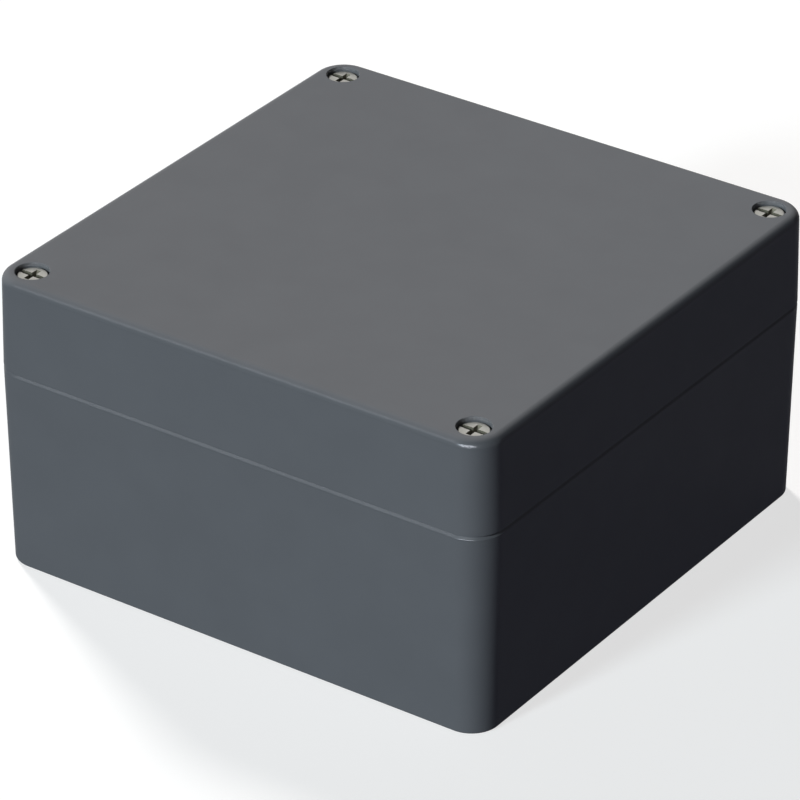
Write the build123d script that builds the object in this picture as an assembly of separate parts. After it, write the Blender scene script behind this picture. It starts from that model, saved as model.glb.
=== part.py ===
"""A sealed box of two aluminium die castings, square in plan, closed by four captive screws.

The origin is the middle of the underside, +Z is up and the front is -Y. Both castings taper
away from the parting plane, so the box is widest there. The seal is a tongue on the base that
runs round inside the corner blocks and presses a gasket in the lid's groove. The lid screws
and the wall fixing holes lie in the corner blocks, outside the seal.
"""

import os

from build123d import *

# Outside of the closed box, in millimetres
LENGTH = 160.0  # along X at the parting plane
DEPTH = 160.0  # along Y at the parting plane
HEIGHT = 88.5
LID_HEIGHT = 27.7
CORNER_R = 9.5  # upright corners at the parting plane
TOP_EDGE_R = 2.5
BOTTOM_EDGE = 0.8  # broken edge round the underside
BASE_RIM_EDGE = 1.0  # broken edge of the base at the parting plane
LID_RIM_EDGE = 0.2  # broken edge of the lid at the parting plane
DRAFT = 1.0  # degrees, on every wall inside and out

# Walls of the castings
BASE_WALL = 4.2
FLOOR = 4.5
LID_TOP = 4.5
FOOT = 2.0  # sloped foot where the walls meet the floor or the lid's ceiling
SEAL_CORNER_R = 5.0  # corners of the line that the seal follows

# Seal
TONGUE_LAND = 0.3  # between the cavity's edge and the tongue
TONGUE_W = 2.0
TONGUE_H = 2.0
TONGUE_GAP = 0.3  # each side of the tongue in the groove
LIP_W = 1.5  # inner wall of the groove
GASKET_H = 2.4
GASKET_GAP = 0.1  # each side of the gasket in the groove

# Wall fixing holes, at the foot of open wells in the corner blocks
FIX_INSET_X = 10.0  # hole centre to the end faces
FIX_INSET_Y = 25.0  # hole centre to the front and rear faces
FIX_HOLE_D = 6.5
FIX_SEAT = 6.0  # thickness under the fixing screw's head
WELL_X = 12.0  # along X at the parting plane
WELL_Y = 14.0  # along Y at the parting plane
WELL_CORNER_R = 3.0
BLOCK_WALL = 4.25  # between a well and the sealed space

# Lid screws
SCREW_INSET = 8.9  # screw axis to the two nearest faces
HEAD_D = 8.5
HEAD_H = 3.3
HEAD_SUNK = 1.1  # top of the head below the lid
THREAD_D = 5.0
THREAD_GAP = 0.05  # radial, round a screw in its tapped hole
THREAD_ENGAGED = 10.7
NECK_D = 4.0  # reduced shank that makes the screw captive
SCREW_PASS_D = 5.5
COUNTERBORE_D = 9.8
HOLE_SPARE = 2.5  # tapped hole beyond the end of its screw
SLOT_W = 1.3
SLOT_DEPTH = 1.5
CROSS_SPAN = 5.6
CROSS_W = 1.5
CROSS_DEPTH = 2.3
NECK_BELOW = 0.6  # reduced shank below the parting plane

# Retaining rings on the lid screws
RING_D = 8.6
RING_H = 0.8
RING_GAP = 0.3  # radial, round the reduced shank and inside the lid's pocket
RING_PLAY = 0.8  # ring's lower face above the parting plane

# Cast bosses for a mounting plate
PLATE_INSET_X = 30.0  # boss axis to the end faces
PLATE_INSET_Y = 16.0  # boss axis to the front and rear faces
BOSS_D = 10.0
BOSS_H = 6.0
BOSS_HOLE_D = 3.3
BOSS_HOLE_DEPTH = 8.0

# Earth terminal
EARTH_INSET = 18.0  # terminal axis to the right-hand face
EARTH_BOSS_D = 13.0
EARTH_BOSS_H = 8.0
EARTH_HEAD_D = 8.5
EARTH_HEAD_H = 3.3
EARTH_THREAD_D = 5.0
EARTH_ENGAGED = 7.3
EARTH_SPARE = 1.5  # tapped hole beyond the end of its screw
CLAMP_SIZE = 12.0
CLAMP_H = 1.5
CLAMP_CORNER_R = 1.2
CLAMP_HOLE_D = 5.5
SPRING_D = 9.2
SPRING_HOLE_D = 5.4
SPRING_H = 1.2
SPRING_SLIT = 0.8
SLIT_ANGLE = 30.0  # degrees that the slit leans

# Places that follow from the sizes
PARTING = HEIGHT - LID_HEIGHT
SCREW_X = LENGTH / 2 - SCREW_INSET
SCREW_Y = DEPTH / 2 - SCREW_INSET
FIX_X = LENGTH / 2 - FIX_INSET_X
FIX_Y = DEPTH / 2 - FIX_INSET_Y
PLATE_X = LENGTH / 2 - PLATE_INSET_X
PLATE_Y = DEPTH / 2 - PLATE_INSET_Y
EARTH_X = LENGTH / 2 - EARTH_INSET
BLOCK_X = FIX_X - WELL_X / 2 - BLOCK_WALL
BLOCK_Y = FIX_Y - WELL_Y / 2 - BLOCK_WALL
GROOVE_IN = TONGUE_LAND - TONGUE_GAP
GROOVE_OUT = TONGUE_LAND + TONGUE_W + TONGUE_GAP
GROOVE_DEPTH = TONGUE_H + GASKET_H
HEAD_SEAT = HEIGHT - HEAD_SUNK - HEAD_H
NECK_END = PARTING - NECK_BELOW
SCREW_END = PARTING - THREAD_ENGAGED
RING_POCKET_D = RING_D + 2 * RING_GAP
RING_BOTTOM = PARTING + RING_PLAY
EARTH_BOSS_TOP = FLOOR + EARTH_BOSS_H
CORNERS = {
    "front_left": (-1, -1),
    "front_right": (1, -1),
    "rear_left": (-1, 1),
    "rear_right": (1, 1),
}


def seal_cross(outward):
    """Sharp-cornered face inside the line that the seal follows round the corner blocks."""
    wide_x = LENGTH / 2 - BASE_WALL + outward
    wide_y = DEPTH / 2 - BASE_WALL + outward
    neck_x = BLOCK_X + outward
    neck_y = BLOCK_Y + outward
    return Rectangle(2 * wide_x, 2 * neck_y) + Rectangle(2 * neck_x, 2 * wide_y)


def is_neck(place, outward):
    """Whether a corner of the cross is one that a corner block pushes inward."""
    return abs(place.X) < BLOCK_X + outward + 1 and abs(place.Y) < BLOCK_Y + outward + 1


def seal_line(outward):
    """Face inside the line that the seal follows, moved outward, with its corners rounded."""
    face = seal_cross(outward)
    tips = [v for v in face.vertices() if not is_neck(v, outward)]
    face = fillet(tips, SEAL_CORNER_R + outward)
    necks = [v for v in face.vertices() if is_neck(v, outward)]
    return fillet(necks, SEAL_CORNER_R - outward)


def seal_band(inside, outside, low, height):
    """Upright band between two lines parallel to the seal line."""
    face = seal_line(outside) - seal_line(inside)
    return extrude(Pos(0, 0, low) * face, height)


def upright_edges(solid):
    """Edges that climb the drafted walls."""
    return [e for e in solid.edges() if abs(e.tangent_at(0.5).Z) > 0.5]


def drafted(face, height):
    """Face drawn down from the parting plane, or up if height is positive, with draft."""
    solid = extrude(Pos(0, 0, PARTING) * face, height)
    walls = [f for f in solid.faces() if abs(f.normal_at().Z) < 0.5]
    away = Plane((0, 0, PARTING), z_dir=(0, 0, 1 if height > 0 else -1))
    return draft(walls, away, DRAFT)


def rounded_block(length, depth, height, radius):
    """Drafted block with its upright corners rounded."""
    block = drafted(Rectangle(length, depth), height)
    return fillet(upright_edges(block), radius)


def cavity_core(outward, height):
    """Drafted inside of one casting, from the parting plane up or down, with a sloped foot."""
    core = drafted(seal_cross(outward), height)
    tips = [e for e in upright_edges(core) if not is_neck(e.center(), outward)]
    core = fillet(tips, SEAL_CORNER_R + outward)
    necks = [e for e in upright_edges(core) if is_neck(e.center(), outward)]
    core = fillet(necks, SEAL_CORNER_R - outward)
    far_end = core.edges().group_by(Axis.Z)[-1 if height > 0 else 0]
    return chamfer(far_end, FOOT)


def well_core(height):
    """Drafted core over or under a wall fixing hole."""
    return rounded_block(WELL_X, WELL_Y, height, WELL_CORNER_R)


def at_corners(x, y, shape):
    """The shape at the four mirrored places."""
    return [Pos(sx * x, sy * y, 0) * shape for sx, sy in CORNERS.values()]


def upright_rod(diameter, low, high):
    """Plain round rod between two levels, also used as the core of a hole."""
    return Pos(0, 0, (low + high) / 2) * Cylinder(diameter / 2, high - low)


def make_base():
    """The lower casting: drafted tub with corner blocks, tongue, wells and floor bosses."""
    block = rounded_block(LENGTH, DEPTH, -PARTING, CORNER_R)
    block = chamfer(block.edges().group_by(Axis.Z)[0], BOTTOM_EDGE)
    block = chamfer(block.edges().group_by(Axis.Z)[-1], BASE_RIM_EDGE)
    base = block - cavity_core(0, FLOOR - PARTING)
    base += seal_band(TONGUE_LAND, TONGUE_LAND + TONGUE_W, PARTING, TONGUE_H)
    base += at_corners(PLATE_X, PLATE_Y, upright_rod(BOSS_D, FLOOR, FLOOR + BOSS_H))
    base += Pos(EARTH_X, 0, 0) * upright_rod(EARTH_BOSS_D, FLOOR, EARTH_BOSS_TOP)
    base -= at_corners(FIX_X, FIX_Y, well_core(FIX_SEAT - PARTING))
    base -= at_corners(FIX_X, FIX_Y, upright_rod(FIX_HOLE_D, 0, FIX_SEAT))
    tapped_d = THREAD_D + 2 * THREAD_GAP
    base -= at_corners(
        SCREW_X, SCREW_Y, upright_rod(tapped_d, SCREW_END - HOLE_SPARE, PARTING)
    )
    boss_top = FLOOR + BOSS_H
    base -= at_corners(
        PLATE_X, PLATE_Y, upright_rod(BOSS_HOLE_D, boss_top - BOSS_HOLE_DEPTH, boss_top)
    )
    earth_tapped_d = EARTH_THREAD_D + 2 * THREAD_GAP
    earth_end = EARTH_BOSS_TOP - EARTH_ENGAGED
    base -= Pos(EARTH_X, 0, 0) * upright_rod(
        earth_tapped_d, earth_end - EARTH_SPARE, EARTH_BOSS_TOP
    )
    return base


def make_lid():
    """The upper casting: drafted cover with the gasket's groove and sunk screw seats."""
    block = rounded_block(LENGTH, DEPTH, LID_HEIGHT, CORNER_R)
    block = fillet(block.edges().group_by(Axis.Z)[-1], TOP_EDGE_R)
    block = chamfer(block.edges().group_by(Axis.Z)[0], LID_RIM_EDGE)
    ceiling = HEIGHT - LID_TOP
    lid = block - cavity_core(GROOVE_IN - LIP_W, ceiling - PARTING)
    lid -= seal_band(GROOVE_IN, GROOVE_OUT, PARTING, GROOVE_DEPTH)
    lid -= at_corners(FIX_X, FIX_Y, well_core(ceiling - PARTING))
    lid -= at_corners(SCREW_X, SCREW_Y, upright_rod(COUNTERBORE_D, HEAD_SEAT, HEIGHT))
    lid -= at_corners(SCREW_X, SCREW_Y, upright_rod(SCREW_PASS_D, PARTING, HEAD_SEAT))
    lid -= at_corners(
        SCREW_X, SCREW_Y, upright_rod(RING_POCKET_D, PARTING, RING_BOTTOM + RING_H)
    )
    return lid


def make_gasket():
    """Endless gasket that fills the groove above the tongue."""
    return seal_band(
        GROOVE_IN + GASKET_GAP, GROOVE_OUT - GASKET_GAP, PARTING + TONGUE_H, GASKET_H
    )


def turned(points):
    """Solid of revolution about Z from radius and height pairs that end on the axis."""
    with BuildPart() as part:
        with BuildSketch(Plane.XZ):
            with BuildLine():
                Polyline(*points, close=True)
            make_face()
        revolve(axis=Axis.Z)
    return part.part


def driver_recess(head_top, head_d):
    """Slot across the whole head, and a deeper cross in its middle."""
    slot = Pos(0, 0, head_top) * Box(2 * head_d, SLOT_W, 2 * SLOT_DEPTH)
    wing = Pos(0, 0, head_top) * Box(CROSS_SPAN, CROSS_W, 2 * CROSS_DEPTH)
    return [slot, wing, Rot(0, 0, 90) * wing]


def make_lid_screw():
    """Captive cheese head screw: head, reduced shank and threaded end."""
    head_r, neck_r, thread_r = HEAD_D / 2, NECK_D / 2, THREAD_D / 2
    top = HEAD_SEAT + HEAD_H
    blank = turned(
        [
            (0, top),
            (head_r, top),
            (head_r, HEAD_SEAT),
            (neck_r, HEAD_SEAT),
            (neck_r, NECK_END),
            (thread_r, NECK_END),
            (thread_r, SCREW_END),
            (0, SCREW_END),
        ]
    )
    return blank - driver_recess(top, HEAD_D)


def make_ring():
    """Retaining ring that keeps a lid screw in the lid."""
    ring = upright_rod(RING_D, RING_BOTTOM, RING_BOTTOM + RING_H)
    return ring - upright_rod(NECK_D + 2 * RING_GAP, RING_BOTTOM, RING_BOTTOM + RING_H)


def make_earth_screw():
    """Terminal screw that presses the clamp on the earth boss."""
    head_r, thread_r = EARTH_HEAD_D / 2, EARTH_THREAD_D / 2
    seat = EARTH_BOSS_TOP + CLAMP_H + SPRING_H
    top = seat + EARTH_HEAD_H
    end = EARTH_BOSS_TOP - EARTH_ENGAGED
    blank = turned(
        [(0, top), (head_r, top), (head_r, seat), (thread_r, seat), (thread_r, end), (0, end)]
    )
    return blank - driver_recess(top, EARTH_HEAD_D)


def make_earth_clamp():
    """Square clamp that holds a wire down on the earth boss."""
    plate = Pos(0, 0, EARTH_BOSS_TOP + CLAMP_H / 2) * Box(CLAMP_SIZE, CLAMP_SIZE, CLAMP_H)
    plate = fillet(plate.edges().filter_by(Axis.Z), CLAMP_CORNER_R)
    return plate - upright_rod(CLAMP_HOLE_D, EARTH_BOSS_TOP, EARTH_BOSS_TOP + CLAMP_H)


def make_spring_washer():
    """Split spring washer, shown flattened under the tightened screw."""
    low = EARTH_BOSS_TOP + CLAMP_H
    ring = upright_rod(SPRING_D, low, low + SPRING_H)
    ring -= upright_rod(SPRING_HOLE_D, low, low + SPRING_H)
    slit = Box(SPRING_D, SPRING_SLIT, 2 * SPRING_H)
    return ring - Pos(SPRING_D / 2, 0, low + SPRING_H / 2) * Rot(SLIT_ANGLE, 0, 0) * slit


def main():
    """Write one file for each piece."""
    os.makedirs("parts", exist_ok=True)
    pieces = {
        "base": make_base(),
        "lid": make_lid(),
        "lid_gasket": make_gasket(),
        "earth_screw": Pos(EARTH_X, 0, 0) * make_earth_screw(),
        "earth_clamp": Pos(EARTH_X, 0, 0) * make_earth_clamp(),
        "earth_spring_washer": Pos(EARTH_X, 0, 0) * make_spring_washer(),
    }
    lid_screw = make_lid_screw()
    ring = make_ring()
    for corner, (side_x, side_y) in CORNERS.items():
        place = Pos(side_x * SCREW_X, side_y * SCREW_Y, 0)
        pieces["lid_screw_" + corner] = place * lid_screw
        pieces["retaining_ring_" + corner] = place * ring
    for name, piece in pieces.items():
        export_step(piece, f"parts/{name}.step")
        print(name, "volume", round(piece.volume))


main()
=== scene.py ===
"""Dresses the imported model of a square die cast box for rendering.

The box is two painted castings with a gasket between them, four captive screws with their
retaining rings, and an earth terminal on the floor inside. Lengths are in millimetres, and a
mesh turns them into metres when it is written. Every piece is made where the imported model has
it, so nothing is moved afterwards.
"""

import logging
from dataclasses import dataclass, replace
from enum import Enum

import bmesh
import bpy
import numpy as np
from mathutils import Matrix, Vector, geometry


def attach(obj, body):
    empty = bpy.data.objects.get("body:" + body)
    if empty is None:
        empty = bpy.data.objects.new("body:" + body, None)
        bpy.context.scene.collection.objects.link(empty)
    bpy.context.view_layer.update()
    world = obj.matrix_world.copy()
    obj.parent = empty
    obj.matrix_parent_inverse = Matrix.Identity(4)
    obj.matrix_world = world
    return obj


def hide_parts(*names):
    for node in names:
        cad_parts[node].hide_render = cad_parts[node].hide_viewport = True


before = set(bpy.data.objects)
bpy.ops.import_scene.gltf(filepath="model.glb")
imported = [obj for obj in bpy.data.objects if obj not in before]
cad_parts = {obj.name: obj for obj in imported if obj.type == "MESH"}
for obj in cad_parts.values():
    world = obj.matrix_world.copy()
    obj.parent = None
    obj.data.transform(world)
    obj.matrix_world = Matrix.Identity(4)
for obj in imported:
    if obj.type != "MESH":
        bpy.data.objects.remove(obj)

log = logging.getLogger("die_cast_box")

MM = 0.001
FULL_TURN = 2 * np.pi
WELD = 2e-6  # metres within which points merge
PLAN_TOLERANCE = 1e-7  # millimetres within which a level face's points are one
ALL_TRIANGLES = 0  # kind of result that the triangulation gives
SECOND_FINISH = 1  # number of a piece's second material
EVEN_WEIGHT = 80  # weight of a face's size in even shading
MIX_COLOURS = (6, 7)  # numbers of a colour mix's inputs
MIX_RESULT = 2  # number of its output

Array = np.ndarray
Colour = tuple[float, float, float]
Pair = tuple[float, float]
Place = tuple[float, float]
Socket = bpy.types.NodeSocket


class Body(Enum):
    """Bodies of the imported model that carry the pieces."""

    BASE = "base"
    LID = "lid"
    EARTH_SCREW = "earth_screw"
    SCREW_FRONT_LEFT = "lid_screw_front_left"
    SCREW_FRONT_RIGHT = "lid_screw_front_right"
    SCREW_REAR_LEFT = "lid_screw_rear_left"
    SCREW_REAR_RIGHT = "lid_screw_rear_right"


class Slot(Enum):
    """Material slots of the record."""

    CASTING = "painted_casting"
    RUBBER = "gasket_rubber"
    STEEL = "stainless_steel"
    NYLON = "ring_nylon"
    BRASS = "clamp_brass"


class Corner(Enum):
    """Corners of the box, with the signs of their X and Y."""

    FRONT_LEFT = (-1, -1)
    FRONT_RIGHT = (1, -1)
    REAR_LEFT = (-1, 1)
    REAR_RIGHT = (1, 1)

    @property
    def label(self) -> str:
        """Name of the corner as the nodes have it."""
        return self.name.lower()

    def at(self, x: float, y: float) -> tuple[float, float]:
        """Place with this corner's signs."""
        return self.value[0] * x, self.value[1] * y

    @property
    def screw_body(self) -> Body:
        """Body of the lid screw in this corner."""
        return Body["SCREW_" + self.name]


def arc(out: float, height: float, radius: float, start: float, end: float, steps: int = 6) -> Array:
    """Part of a circle in a profile: the middle plus the radius times cosine and sine of the angle.

    Args:
        out: Outward place of the middle.
        height: Height of the middle.
        radius: Radius of the circle.
        start: First angle in degrees, from outward towards up.
        end: Last angle in degrees.
        steps: Number of chords.

    Returns:
        Outward and height pairs, one row for each point.
    """
    angle = np.radians(np.linspace(start, end, steps + 1))
    return np.stack([out + radius * np.cos(angle), height + radius * np.sin(angle)], axis=1)


def profile(*parts: Array | Place) -> Array:
    """Joins points and arcs into one profile of outward and height pairs."""
    return np.concatenate([np.atleast_2d(np.asarray(part, float)) for part in parts])


@dataclass(frozen=True)
class Outline:
    """Outline in plan whose sides run along X and Y, with rounded corners.

    Attributes:
        corners: Sharp corners in order round the outline, relative to the middle.
        grows: For each corner 1 where its radius grows with a move outward, or else -1.
        radius: Radius of every corner where the outline isn't moved.
        steps: Chords in each corner.
        middle: Middle of the outline.
        conical: Whether the lean changes the radius of the corners as well.
    """

    corners: Array
    grows: Array
    radius: float
    steps: int
    middle: Place = (0.0, 0.0)
    conical: bool = False

    @staticmethod
    def rectangle(
        length: float, depth: float, radius: float, steps: int, middle: Place = (0.0, 0.0)
    ) -> "Outline":
        """Outline of a rectangle.

        Args:
            length: Size along X.
            depth: Size along Y.
            radius: Radius of the corners.
            steps: Chords in each corner.
            middle: Middle of the rectangle.

        Returns:
            The outline.
        """
        signs = np.array([(1, -1), (1, 1), (-1, 1), (-1, -1)], float)
        return Outline(signs * (length / 2, depth / 2), np.ones(4), radius, steps, middle)

    @staticmethod
    def cross(wide: Place, neck: Place, radius: float, steps: int) -> "Outline":
        """Outline of a cross: two rectangles over each other, whose arms reach out to wide.

        Args:
            wide: Half sizes over the ends of the arms, along X and Y.
            neck: Half sizes of the arms across, along X and Y.
            radius: Radius of the corners.
            steps: Chords in each corner.

        Returns:
            The outline.
        """
        quarter = np.array([(wide[0], neck[1]), (neck[0], neck[1]), (neck[0], wide[1])])
        turned_back = quarter[::-1] * (-1, 1)
        corners = np.concatenate([quarter, turned_back, -quarter, -turned_back])
        return Outline(corners, np.tile([1.0, -1.0, 1.0], 4), radius, steps)

    def carry(self, rows: Array, lean: float = 0.0, level: float = 0.0) -> Array:
        """Carries a profile round the outline.

        Each row of the profile gives one loop. Its sharp corners are the outline's, moved outward
        along X and Y by the row's outward value, less the lean's share of its height over or under
        the level. A corner is a quarter circle about the point one radius in along both its sides:
        that point less the radius times the next side's direction by the cosine, and the last
        side's by the sine, of an angle that runs from 0 to 90 degrees.

        Args:
            rows: Outward and height pairs.
            lean: Inward move for each millimetre away from the level.
            level: Height at which the outline has its own size.

        Returns:
            Array of rows by points by 3.
        """
        rows = np.atleast_2d(rows)
        outward, height = rows[:, 0], rows[:, 1]
        moved = outward - lean * np.abs(height - level)
        corners = self.corners[None] + moved[:, None, None] * np.sign(self.corners)[None]
        widened = moved if self.conical else outward
        radii = (self.radius + widened[:, None] * self.grows[None])[..., None]
        last_side = np.roll(corners, 1, axis=1) - corners
        next_side = np.roll(corners, -1, axis=1) - corners
        last_side /= np.linalg.norm(last_side, axis=-1, keepdims=True)
        next_side /= np.linalg.norm(next_side, axis=-1, keepdims=True)
        centre = (corners + radii * (last_side + next_side))[:, :, None]
        angle = np.linspace(0, np.pi / 2, self.steps + 1)[None, None, :, None]
        swept = next_side[:, :, None] * np.cos(angle) + last_side[:, :, None] * np.sin(angle)
        plan = (centre - radii[:, :, None] * swept).reshape(len(rows), -1, 2) + self.middle
        tall = np.broadcast_to(height[:, None, None], (*plan.shape[:2], 1))
        return np.concatenate([plan, tall], axis=-1)


def around(middle: Place, radius: Array, angle: Array, height: Array) -> Array:
    """Points about an upright axis: the radius times cosine and sine of the angle, and the height.

    Args:
        middle: Place of the axis.
        radius: Radius of each point, or of each row.
        angle: Angle of each point in radians.
        height: Height of each point, or of each row.

    Returns:
        Array of rows by points by 3.
    """
    x, y = middle[0] + radius * np.cos(angle), middle[1] + radius * np.sin(angle)
    return np.stack([x, y, np.broadcast_to(height, x.shape)], axis=-1)


def turn(rows: Array, middle: Place = (0.0, 0.0), steps: int = 48) -> Array:
    """Turns a profile about an upright axis.

    Args:
        rows: Radius and height pairs.
        middle: Place of the axis.
        steps: Points in each circle.

    Returns:
        Array of rows by points by 3.
    """
    rows = np.atleast_2d(rows)
    angle = np.linspace(0, FULL_TURN, steps, endpoint=False)
    return around(middle, rows[:, :1], angle, rows[:, 1:])


def ring_section(inner: float, outer: float, low: float, high: float, edge: float) -> Array:
    """Section of a flat ring with broken corners.

    Args:
        inner: Radius of the hole.
        outer: Outer radius.
        low: Height of the underside.
        high: Height of the top.
        edge: Size of the broken corners.

    Returns:
        Radius and height pairs, from the foot of the outer side upward and round.
    """
    return profile(
        (outer, low + edge),
        (outer, high - edge),
        (outer - edge, high),
        (inner + edge, high),
        (inner, high - edge),
        (inner, low + edge),
        (inner + edge, low),
        (outer - edge, low),
    )


@dataclass(frozen=True)
class Thread:
    """Screw thread as a radius that changes with the angle and the height.

    The share of a pitch at a point is its height over the pitch less its share of a turn. A
    triangle wave of that share, cut flat at both ends, goes from the plain radius to the cut one,
    and it fades to the plain radius at both ends of the thread.

    Attributes:
        plain: Radius of the rod or hole without its thread.
        cut: Radius that the thread reaches, in from a rod or out from a hole.
        pitch: Height of one turn.
        rows_per_pitch: Rows of points in one pitch.
        flat: Height of the triangle wave, of 1, below which it is cut flat.
        flank: Height of the triangle wave from there to the other flat.
        fade: Pitches over which the thread fades at each end.
    """

    plain: float
    cut: float
    pitch: float = 0.8
    rows_per_pitch: int = 12
    flat: float = 0.12
    flank: float = 0.62
    fade: float = 0.5

    def surface(self, low: float, high: float, middle: Place, steps: int) -> Array:
        """Threaded wall between two heights, from the high one down.

        Args:
            low: Lower end.
            high: Upper end.
            middle: Place of the axis.
            steps: Points in each circle.

        Returns:
            Array of rows by points by 3.
        """
        count = int(round((high - low) / self.pitch * self.rows_per_pitch))
        height = np.linspace(high, low, count + 1)[:, None]
        angle = np.linspace(0, FULL_TURN, steps, endpoint=False)[None]
        share = np.mod(height / self.pitch - angle / FULL_TURN, 1.0)
        wave = np.clip((1 - np.abs(2 * share - 1) - self.flat) / self.flank, 0, 1)
        fade = np.clip(np.minimum(high - height, height - low) / (self.fade * self.pitch), 0, 1)
        return around(middle, self.plain + (self.cut - self.plain) * wave * fade, angle, height)


class Patchwork:
    """Collects the patches of one piece and welds them into one closed mesh."""

    def __init__(self, name: str) -> None:
        """Starts an empty piece with that name."""
        self.name = name
        self.points: list[Array] = []
        self.faces: list[Array] = []
        self.finish: list[Array] = []
        self.count = 0

    def keep(self, points: Array, faces: Array, finish: int) -> None:
        """Adds points and faces, whose numbers start at 0 in this patch."""
        self.points.append(points)
        self.faces.append(faces + self.count)
        self.finish.append(np.full(len(faces), finish))
        self.count += len(points)

    def grid(self, rows: Array, finish: int = 0, ring: bool = False) -> "Patchwork":
        """Adds four-sided faces between neighbouring closed rows.

        Args:
            rows: Array of rows by points by 3.
            finish: Number of the material on these faces.
            ring: Whether the last row joins the first.

        Returns:
            The piece itself.
        """
        number, wide = rows.shape[:2]
        across = np.arange(wide)
        beside = (across + 1) % wide
        last = number if ring else number - 1
        here = (np.arange(last) * wide)[:, None]
        above = (((np.arange(last) + 1) % number) * wide)[:, None]
        quads = np.stack([here + across, here + beside, above + beside, above + across], axis=-1)
        self.keep(rows.reshape(-1, 3), quads.reshape(-1, 4), finish)
        return self

    def band(self, rows: Array) -> tuple[Array, Array]:
        """Adds the faces between rows and returns the first and the last row."""
        self.grid(rows)
        return rows[0], rows[-1]

    def flat(self, outer: Array, holes: tuple[Array, ...] = (), finish: int = 0) -> "Patchwork":
        """Adds a level face with holes, cut into triangles.

        The loops become edges that the triangles keep. A triangle is kept where a line from its
        middle crosses the loops an odd number of times.

        Args:
            outer: Points of the outer loop.
            holes: Points of each hole's loop.
            finish: Number of the material on these faces.

        Returns:
            The piece itself.
        """
        loops = [outer, *holes]
        starts = np.cumsum([0] + [len(loop) for loop in loops])
        ends = [s + np.roll(np.arange(len(loop)), -1) for s, loop in zip(starts, loops)]
        edges = np.stack([np.arange(starts[-1]), np.concatenate(ends)], axis=1)
        plan = np.concatenate(loops)[:, :2]
        found = geometry.delaunay_2d_cdt(
            [Vector(p) for p in plan], edges.tolist(), [], ALL_TRIANGLES, PLAN_TOLERANCE
        )
        corners = np.array([tuple(v) for v in found[0]])
        triangles = np.array(found[2])
        middle = corners[triangles].mean(axis=1)
        x, y = middle[:, 0, None], middle[:, 1, None]
        ax, ay = plan[edges[:, 0]].T
        bx, by = plan[edges[:, 1]].T
        spans = (ay > y) != (by > y)
        rise = np.where(by == ay, 1.0, by - ay)
        crossed = spans & (x < (bx - ax) * (y - ay) / rise + ax)
        kept = triangles[crossed.sum(axis=1) % 2 == 1]
        height = np.full((len(corners), 1), outer[0, 2])
        self.keep(np.concatenate([corners, height], axis=1), kept, finish)
        return self

    def mesh(self) -> bpy.types.Mesh:
        """Writes the patches into one mesh in metres, welds it and turns its faces outward."""
        mesh = bpy.data.meshes.new(self.name)
        faces = [row for part in self.faces for row in part.tolist()]
        mesh.from_pydata((np.concatenate(self.points) * MM).tolist(), [], faces)
        mesh.polygons.foreach_set("material_index", np.concatenate(self.finish).astype(np.int32))
        weld(mesh)
        return mesh


def weld(mesh: bpy.types.Mesh) -> None:
    """Merges the points of a mesh that lie on each other and turns its faces outward."""
    work = bmesh.new()
    work.from_mesh(mesh)
    bmesh.ops.remove_doubles(work, verts=work.verts, dist=WELD)
    bmesh.ops.recalc_face_normals(work, faces=work.faces)
    loose = sum(len(edge.link_faces) != 2 for edge in work.edges)
    if loose:
        log.warning("%s has %d edges without two faces", mesh.name, loose)
    work.to_mesh(mesh)
    work.free()


def smooth(mesh: bpy.types.Mesh, angle: float = 32.0) -> None:
    """Shades a mesh smooth, with edges sharp where faces turn by more than the angle in degrees."""
    mesh.polygons.foreach_set("use_smooth", np.ones(len(mesh.polygons), bool))
    mesh.set_sharp_from_angle(angle=float(np.radians(angle)))


def linked(name: str, data: bpy.types.ID) -> bpy.types.Object:
    """New object of that data in the scene."""
    item = bpy.data.objects.new(name, data)
    bpy.context.scene.collection.objects.link(item)
    return item


def place(
    mesh: bpy.types.Mesh,
    materials: tuple[bpy.types.Material, ...],
    body: Body,
    slot: Slot,
    *nodes: str,
    even: bool = True,
) -> bpy.types.Object:
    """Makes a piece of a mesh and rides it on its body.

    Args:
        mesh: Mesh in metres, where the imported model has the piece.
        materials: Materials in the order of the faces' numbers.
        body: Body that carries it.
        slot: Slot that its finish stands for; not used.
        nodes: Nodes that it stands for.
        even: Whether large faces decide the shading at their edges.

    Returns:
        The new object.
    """
    piece = linked(mesh.name, mesh)
    for material in materials:
        mesh.materials.append(material)
    if even:
        weighted = piece.modifiers.new("even_shading", "WEIGHTED_NORMAL")
        weighted.keep_sharp = True
        weighted.weight = EVEN_WEIGHT
    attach(piece, body.value)
    if nodes:
        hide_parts(*nodes)
    log.info("%s: %d faces on %s", piece.name, len(mesh.polygons), body.value)
    return piece


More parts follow.
